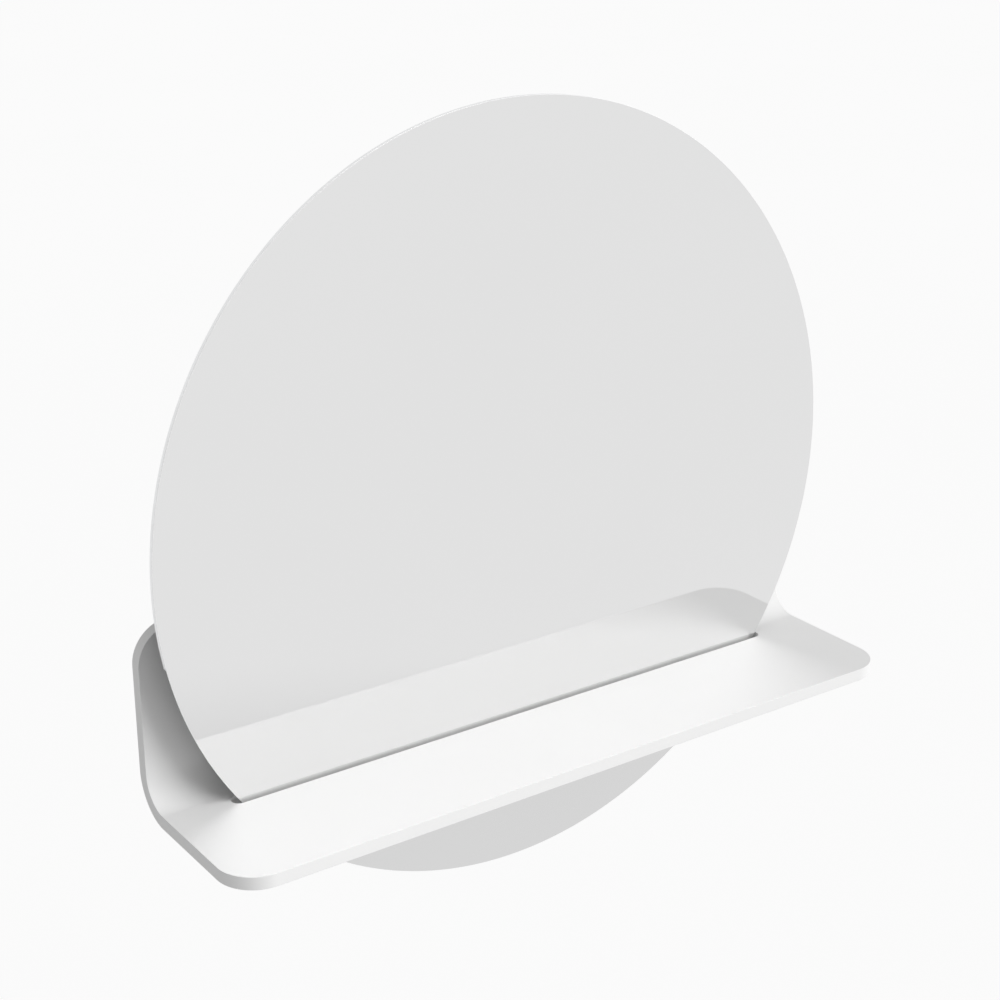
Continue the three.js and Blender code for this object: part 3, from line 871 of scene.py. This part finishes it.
def mitred_tube(name, span, reach, turn):
    """One side of the frame, drawn as the top one and turned to its place. Span is its length
    outside, and reach is how far its outer face is from the frame's middle."""
    body = bmesh.new()
    uv = body.loops.layers.uv.new("along")
    wall = TUBE_WALL
    outer = rounded_ring((FRAME_FRONT, -TUBE_HIGH), (FRAME_BACK, 0), TUBE_ROUND)
    inner = rounded_ring((FRAME_FRONT + wall, wall - TUBE_HIGH), (FRAME_BACK - wall, -wall),
                         BORE_ROUND)
    half = (span - MITRE_GAP) / 2
    rings = {}
    for label, ring in (("outer", outer), ("inner", inner)):
        for end in (-1, 1):
            rings[label, end] = [body.verts.new((end * (half + z), y, z)) for y, z in ring]
    count = len(outer)
    for i in range(count):
        j = (i + 1) % count
        for label in ("outer", "inner"):
            near, far = rings[label, -1], rings[label, 1]
            body.faces.new((near[i], near[j], far[j], far[i]))
        for end in (-1, 1):
            skin, bore = rings["outer", end], rings["inner", end]
            body.faces.new((skin[i], skin[j], bore[j], bore[i]))
    bmesh.ops.recalc_face_normals(body, faces=body.faces)
    girth = [0.0]
    for a, b in zip(outer, outer[1:]):
        girth.append(girth[-1] + (b - a).length)
    where = {vert: girth[i] for ring in rings.values() for i, vert in enumerate(ring)}
    for face in body.faces:
        for corner in face.loops:
            corner[uv].uv = (corner.vert.co.x, where[corner.vert])
    body.transform(Matrix.Translation((0, 0, FRAME_MIDDLE))
                   @ Matrix.Rotation(math.radians(turn), 4, "Y")
                   @ Matrix.Translation((0, 0, reach)))
    mesh = bpy.data.meshes.new(name)
    body.to_mesh(mesh)
    body.free()
    piece = bpy.data.objects.new(name + "_tube", mesh)
    scene.collection.objects.link(piece)
    set_finish(piece, MILL_ALUMINIUM)
    settled(piece)
    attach(piece, "mirror")
    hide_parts(name)


for side in SIDES:
    mitred_tube(*side)


# --- Corner keys --------------------------------------------------------------------------
# Moulded plastic angles pushed into the tubes' ends. Only hairlines of them show.
def moulded_plastic():
    """Grey glass-filled plastic with a fine spark-eroded grain."""
    finish, tree, shader, grain = clouded_finish(
        "grey moulded plastic", (0.140, 0.143, 0.147), (0.170, 0.173, 0.177), grains=1600.0,
        clouds=40.0)
    tree.links.new(between(tree, grain["Grain"], 0.48, 0.62), shader.inputs["Roughness"])
    bumped(tree, shader, grain["Grain"], depth=0.00003, strength=0.6)
    return finish


KEY_PLASTIC = moulded_plastic()
CORNERS = [(level, hand) for level in ("upper", "lower") for hand in ("left", "right")]
for level, hand in CORNERS:
    set_finish(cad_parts[f"corner_key_{level}_{hand}"], KEY_PLASTIC)


# --- Rivets -------------------------------------------------------------------------------
# Blind rivets of aluminium pull each tube's back wall onto its key. Two sit at each corner,
# with the broken end of the mandrel sunk in the head.
RIVET_AROUND = 32
RIVET_FROM_CORNER = 0.030
RIVET_SHANK = 0.0020         # radius
RIVET_HEAD = 0.0040          # radius
RIVET_TAIL = -0.0045
rivet_section = [
    (0, RIVET_TAIL), (0.0019, RIVET_TAIL), (RIVET_SHANK, -0.0040), (RIVET_SHANK, 0.0002),
    (0.0039, 0.0003), (RIVET_HEAD, 0.0005), (0.0038, 0.00080), (0.0033, 0.00115),
    (0.0026, 0.0014), (0.0018, 0.00155), (0.00125, 0.0016), (0.00112, 0.0015),
    (0.00110, 0.0008), (0.00085, 0.0007), (0.0008, 0.00045), (0, 0.0004),
]
on_rail = (FRAME_WIDE / 2 - RIVET_FROM_CORNER, FRAME_HIGH / 2 - TUBE_HIGH / 2)
on_stile = (FRAME_WIDE / 2 - TUBE_HIGH / 2, FRAME_HIGH / 2 - RIVET_FROM_CORNER)
rivet_places = []
for level, hand in CORNERS:
    up, across = (1 if level == "upper" else -1), (1 if hand == "right" else -1)
    for x, z in (on_rail, on_stile):
        rivet_places.append((across * x, FRAME_BACK, FRAME_MIDDLE + up * z))
RIVET_METAL = bare_metal(
    "bright rivet aluminium", (0.74, 0.745, 0.75), (0.82, 0.825, 0.83),
    smooth=0.24, rough=0.38, lines=900.0, length=1.0, depth=0.000006)
rivets = turned("rivets", rivet_section, rivet_places, RIVET_AROUND, RIVET_METAL)
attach(rivets, "mirror")
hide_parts(*[f"rivet_{level}_{hand}_{n}" for level, hand in CORNERS for n in (1, 2)])


# --- Mirror cleat -------------------------------------------------------------------------
# The matching strip on the frame's top rail. Its lip hooks down behind the wall cleat's lip,
# so the mirror comes off when it is lifted straight up.
HOOK_LENGTH = 0.280
HOOK_TOP = 0.2365
HOOK_MIDDLE = FRAME_BACK + SEAT_GAP + CLEAT / 2
HOOK_BASE = 0.016
HOOK_STEP = 0.0085
HOOK_LIP = 0.009
HOOK_HOLE = 0.0023           # radius
HOOK_HOLE_DROP = 0.008       # below the upper edge
SCREW_SPOTS = (-0.110, -0.040, 0.040, 0.110)
hook_holes = [hole_line(HOOK_HOLE, x, HOOK_HOLE_DROP, 20) for x in SCREW_SPOTS]
hook = stepped_strip("mirror_cleat_strip", HOOK_LENGTH, (HOOK_MIDDLE, HOOK_TOP), -90,
                     HOOK_BASE, HOOK_STEP, HOOK_LIP, hook_holes)
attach(hook, "mirror")
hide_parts("mirror_cleat")


# --- Cleat screws -------------------------------------------------------------------------
# Four zinc-plated pan-head screws hold the cleat to the top rail. They are driven with a
# six-lobed key, and their thread cuts its own way into the tube wall.
SCREW_AROUND = 48
SCREW_LOBES = 6
SCREW_SEAT = HOOK_MIDDLE + CLEAT / 2 + SEAT_GAP
SCREW_TIP = -0.0120
SCREW_HEAD = 0.0040          # radius
THREAD_ROOT = 0.0016         # radius
THREAD_CREST = 0.0020        # radius
THREAD_PITCH = 0.0012
THREAD_END = -0.0094
THREAD_TURNS = 7
screw_section = [(0, SCREW_TIP), (0.0004, SCREW_TIP), (THREAD_ROOT, -0.0100)]
for turn_of_thread in range(THREAD_TURNS):
    foot = THREAD_END + turn_of_thread * THREAD_PITCH
    screw_section += [(THREAD_ROOT, foot), (THREAD_CREST, foot + THREAD_PITCH / 3),
                      (THREAD_ROOT, foot + THREAD_PITCH * 2 / 3)]
screw_section += [
    (THREAD_CREST, 0.0001), (0.0039, 0.0002), (SCREW_HEAD, 0.0005), (SCREW_HEAD, 0.0012),
    (0.0038, 0.0017), (0.0033, 0.0021), (0.0026, 0.00235), (0.00195, 0.0024, 0.00008),
    (0.0018, 0.0023, 0.00022), (0.00175, 0.0010, 0.00022), (0.0014, 0.0008, 0.00015),
    (0, 0.0007),
]
ZINC_STEEL = bare_metal(
    "zinc plate", (0.60, 0.61, 0.60), (0.72, 0.73, 0.73),
    smooth=0.22, rough=0.40, lines=700.0, length=1.0, depth=0.000006)
screw_places = [(x, SCREW_SEAT, HOOK_TOP - HOOK_HOLE_DROP) for x in SCREW_SPOTS]
screws = turned("cleat_screws", screw_section, screw_places, SCREW_AROUND, ZINC_STEEL,
                SCREW_LOBES)
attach(screws, "mirror")
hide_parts(*[f"cleat_screw_{n}" for n in (1, 2, 3, 4)])


# --- Bumpers ------------------------------------------------------------------------------
# Self-adhesive rubber buttons on the bottom rail. They lean on the top of the back plate and
# keep the mirror parallel to the wall.
BUMPER = 0.0080              # radius
BUMPER_THICK = 0.0033
BUMPER_AROUND = 48
BUMPER_FACE = -PLATE - SEAT_GAP
BUMPER_HEIGHT = 0.0465
BUMPER_SPOTS = (-0.110, 0.110)
bumper_section = [
    (0, -BUMPER_THICK), (0.0078, -BUMPER_THICK), (BUMPER, -0.0031), (BUMPER, -0.0012),
    (0.0078, -0.0006), (0.0073, -0.0002), (0.0066, 0), (0, 0),
]
bumper_places = [(x, BUMPER_FACE, BUMPER_HEIGHT) for x in BUMPER_SPOTS]
bumpers = turned("bumpers", bumper_section, bumper_places, BUMPER_AROUND, SOFT_RUBBER)
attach(bumpers, "mirror")
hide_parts("bumper_left", "bumper_right")


# --- Room ---------------------------------------------------------------------------------
# A pale floor, well below the shelf, an even white room, and one large soft lamp high on the
# right in front. The eye sees the floor and the room as plain white.
FLOOR = -1.35                # height
FLOOR_REACH = 150
PAPER_WHITE = 0.965
ROOM_SHINE = 0.875           # what gloss and mirror see of the room
ROOM_LIGHT = 0.463           # what lights the pieces from all sides
FLOOR_TO_EYE = 0.442         # added to the lit floor, so that the eye sees it as white
FLOOR_TO_GLOSS = 0.353       # added for gloss and mirror, far from the shelf
SHADE_TO_GLOSS = 0.246       # added for them near the shelf, less there as painted shade
SHADE_NEAR = 2.3             # the painted shade ends between these distances
SHADE_FAR = 2.9
LAMP_TURN = math.radians(37)
LAMP_HEIGHT = math.radians(28)
LAMP_STRENGTH = 2.18
LAMP_SPREAD = math.radians(50)


def shows_the_room(tree):
    """1 for what gloss or glass in plain sight picks up, and 0 for light that has already
    fallen on a matt surface. The second socket is 1 for what the eye sees."""
    rays = add_node(tree, "ShaderNodeLightPath").outputs
    gloss = maths(tree, "MAXIMUM", rays["Is Glossy Ray"], rays["Is Transmission Ray"])
    fresh = maths(tree, "LESS_THAN", rays["Diffuse Depth"], 0.5)
    return maths(tree, "MULTIPLY", gloss, fresh), rays["Is Camera Ray"]


def floor_finish():
    """Pale grey floor that takes shadows, and looks white to the eye and pale in gloss, with
    painted shade in gloss near the shelf.
    """
    finish, tree, shader, _ = clouded_finish(
        "pale floor", (0.655, 0.655, 0.655), (0.665, 0.665, 0.665), grains=40.0, clouds=0.3,
        Roughness=0.9, Specular_IOR_Level=0.0, Emission_Color=(1, 1, 1, 1))
    gloss, seen = shows_the_room(tree)
    place = add_node(tree, "ShaderNodeTexCoord").outputs["Object"]
    away = add_node(tree, "ShaderNodeVectorMath", {0: place, 1: (0, 0, FLOOR)},
                    operation="DISTANCE")
    # Painted shade: gloss and mirror see the floor darker near the shelf.
    to_gloss = add_node(tree, "ShaderNodeMapRange", {
        "Value": away.outputs["Value"], "From Min": SHADE_NEAR, "From Max": SHADE_FAR,
        "To Min": SHADE_TO_GLOSS, "To Max": FLOOR_TO_GLOSS}, interpolation_type="SMOOTHSTEP")
    to_eye = maths(tree, "MULTIPLY", seen, FLOOR_TO_EYE)
    lit = maths(tree, "MULTIPLY_ADD", gloss, to_gloss.outputs[0], to_eye)
    tree.links.new(lit, shader.inputs["Emission Strength"])
    finish.cycles.emission_sampling = "NONE"
    return finish


ground = bpy.data.meshes.new("floor")
ground.from_pydata([(x * FLOOR_REACH, y * FLOOR_REACH, FLOOR)
                    for x, y in ((-1, -1), (1, -1), (1, 1), (-1, 1))], [], [(0, 1, 2, 3)])
floor = bpy.data.objects.new("floor", ground)
scene.collection.objects.link(floor)
set_finish(floor, floor_finish())

room = bpy.data.worlds.new("room")
room.use_nodes = True
scene.world = room
tree = room.node_tree
air = tree.nodes["Background"]
gloss, seen = shows_the_room(tree)
shine = add_node(tree, "ShaderNodeMix", {"Factor": gloss, "A": ROOM_LIGHT, "B": ROOM_SHINE})
white = add_node(tree, "ShaderNodeMix", {
    "Factor": seen, "A": shine.outputs["Result"], "B": PAPER_WHITE})
tree.links.new(white.outputs["Result"], air.inputs["Strength"])
air.inputs["Color"].default_value = (1, 1, 1, 1)
room.cycles.sampling_method = "NONE"

lamp_data = bpy.data.lights.new("softbox", "SUN")
lamp_data.energy = LAMP_STRENGTH
lamp_data.angle = LAMP_SPREAD
softbox = bpy.data.objects.new("softbox", lamp_data)
shining = Vector((-math.sin(LAMP_TURN) * math.cos(LAMP_HEIGHT),
                  math.cos(LAMP_TURN) * math.cos(LAMP_HEIGHT), -math.sin(LAMP_HEIGHT)))
softbox.rotation_euler = shining.to_track_quat("-Z", "Y").to_euler()
scene.collection.objects.link(softbox)
